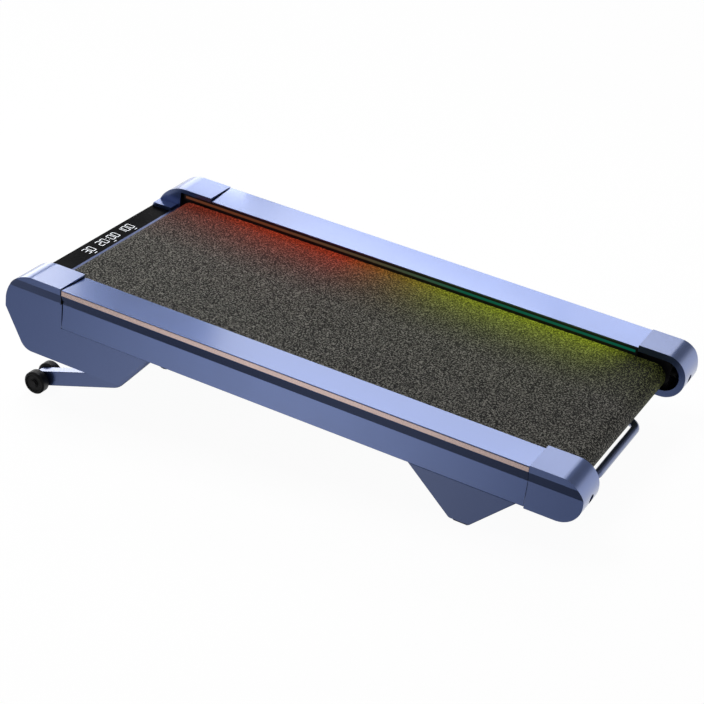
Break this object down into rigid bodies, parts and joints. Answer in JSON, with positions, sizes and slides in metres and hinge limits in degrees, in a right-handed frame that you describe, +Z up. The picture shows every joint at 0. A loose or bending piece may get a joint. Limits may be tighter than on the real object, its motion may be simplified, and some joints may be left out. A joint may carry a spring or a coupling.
{
  "type": "walking pad",
  "caption": "Low under-desk walking treadmill with a powered incline lift, raised side rails, light bars, a front display and a rear carrying handle.",
  "frame": {"origin": "on the floor under the middle of the pad's bounding box, standing nose-up on its lift wheels and rear feet", "axes": "+X towards the rear where the handle is, +Y to the right of someone walking on it, +Z up from a level floor"},
  "size_m": [1.0614, 0.54, 0.2475],
  "materials": {
    "rail_paint": "satin metallic blue over an extruded rail",
    "cover_paint": "satin metallic blue mouldings",
    "handle_paint": "satin blue bent tube",
    "copper_trim": "rose copper, brushed",
    "black_trim": "black",
    "light_lens": "diffusing light bar",
    "display_glass": "smoked black glass",
    "silver_trim": "bright satin",
    "circuit": "circuit board with digit blocks",
    "frame_steel": "black powder coat",
    "arm_steel": "dark blue-grey powder coat",
    "bright_steel": "plain steel",
    "pulley": "turned",
    "deck_wood": "laminated fibreboard",
    "belt": "woven belt with a granular top",
    "rubber": "moulded",
    "wheel": "hard black roller",
    "pan": "black moulded tray",
    "motor": "black enamel",
    "electronics": "finned case"
  },
  "bodies": {
    "chassis": {"side_rail_left": "rail_paint", "side_rail_right": "rail_paint", "front_side_cover_left": "cover_paint", "front_side_cover_right": "cover_paint", "rear_end_cap_left": "cover_paint", "rear_end_cap_right": "cover_paint", "rear_foot_left": "cover_paint", "rear_foot_right": "cover_paint", "front_hood": "cover_paint", "rear_handle": "handle_paint", "accent_strip_left": "copper_trim", "accent_strip_right": "copper_trim", "light_channel_left": "black_trim", "light_channel_right": "black_trim", "mains_panel": "black_trim", "handle_clamps": "black_trim", "light_bar_left": "light_lens", "light_bar_right": "light_lens", "display_window": "display_glass", "hood_trim": "silver_trim", "display_board": "circuit", "frame_tube_left": "frame_steel", "frame_tube_right": "frame_steel", "deck_cross_members": "frame_steel", "belly_straps": "frame_steel", "handle_strap": "frame_steel", "lift_bracket_left": "frame_steel", "lift_bracket_right": "frame_steel", "front_axle": "bright_steel", "rear_axle": "bright_steel", "tension_bolts": "bright_steel", "pan_screws": "bright_steel", "deck_board": "deck_wood", "running_belt": "belt", "drive_belt": "rubber", "deck_cushions": "rubber", "foot_pads": "rubber", "belly_pan": "pan", "drive_motor": "motor", "motor_mount": "motor", "lift_actuator": "motor", "control_box": "electronics"},
    "lift_frame": {"lift_arm_left": "arm_steel", "lift_arm_right": "arm_steel", "lift_tube": "bright_steel", "lift_crank": "bright_steel", "wheel_axles": "bright_steel"},
    "lift_rod": {"lift_rod": "bright_steel"},
    "wheel_left_outer": {"lift_wheel_left_outer": "wheel"},
    "wheel_left_inner": {"lift_wheel_left_inner": "wheel"},
    "wheel_right_outer": {"lift_wheel_right_outer": "wheel"},
    "wheel_right_inner": {"lift_wheel_right_inner": "wheel"},
    "front_roller": {"front_roller": "bright_steel", "front_roller_bearings": "bright_steel", "roller_pulley": "pulley"},
    "rear_roller": {"rear_roller": "bright_steel", "rear_roller_bearings": "bright_steel"},
    "motor_rotor": {"motor_shaft": "bright_steel", "motor_pulley": "pulley"},
    "switch": {"switch_rocker": "black_trim"}
  },
  "joints": [
    {"name": "lift_hinge", "type": "hinge", "parent": "chassis", "child": "lift_frame", "pos_m": [-0.23689, 0, 0.12816], "axis": [0, 1, 0], "range_deg": [0, 20.5]},
    {"name": "lift_rod_slide", "type": "slide", "parent": "chassis", "child": "lift_rod", "axis": [-0.993, 0, 0.1177], "range_m": [0, 0.0126]},
    {"name": "wheel_left_outer_spin", "type": "hinge", "parent": "lift_frame", "child": "wheel_left_outer", "pos_m": [-0.5094, -0.22225, 0.021], "axis": [0, 1, 0], "continuous": true},
    {"name": "wheel_left_inner_spin", "type": "hinge", "parent": "lift_frame", "child": "wheel_left_inner", "pos_m": [-0.5094, -0.18275, 0.021], "axis": [0, 1, 0], "continuous": true},
    {"name": "wheel_right_outer_spin", "type": "hinge", "parent": "lift_frame", "child": "wheel_right_outer", "pos_m": [-0.5094, 0.22225, 0.021], "axis": [0, 1, 0], "continuous": true},
    {"name": "wheel_right_inner_spin", "type": "hinge", "parent": "lift_frame", "child": "wheel_right_inner", "pos_m": [-0.5094, 0.18275, 0.021], "axis": [0, 1, 0], "continuous": true},
    {"name": "front_roller_spin", "type": "hinge", "parent": "chassis", "child": "front_roller", "pos_m": [-0.44796, 0, 0.19951], "axis": [0, 1, 0], "continuous": true},
    {"name": "rear_roller_spin", "type": "hinge", "parent": "chassis", "child": "rear_roller", "pos_m": [0.4716, 0, 0.0905], "axis": [0, 1, 0], "continuous": true},
    {"name": "motor_spin", "type": "hinge", "parent": "chassis", "child": "motor_rotor", "pos_m": [-0.41658, 0.14, 0.14141], "axis": [0, 1, 0], "continuous": true},
    {"name": "switch_rock", "type": "hinge", "parent": "chassis", "child": "switch", "pos_m": [-0.50018, 0.105, 0.14125], "axis": [0, -1, 0], "range_deg": [0, 16]}
  ],
  "couplings": [
    {"joint": "lift_rod_slide", "follows": "lift_hinge", "m_per_rad": 0.034814},
    {"joint": "rear_roller_spin", "follows": "front_roller_spin", "ratio": 1},
    {"joint": "motor_spin", "follows": "front_roller_spin", "ratio": 2}
  ]
}
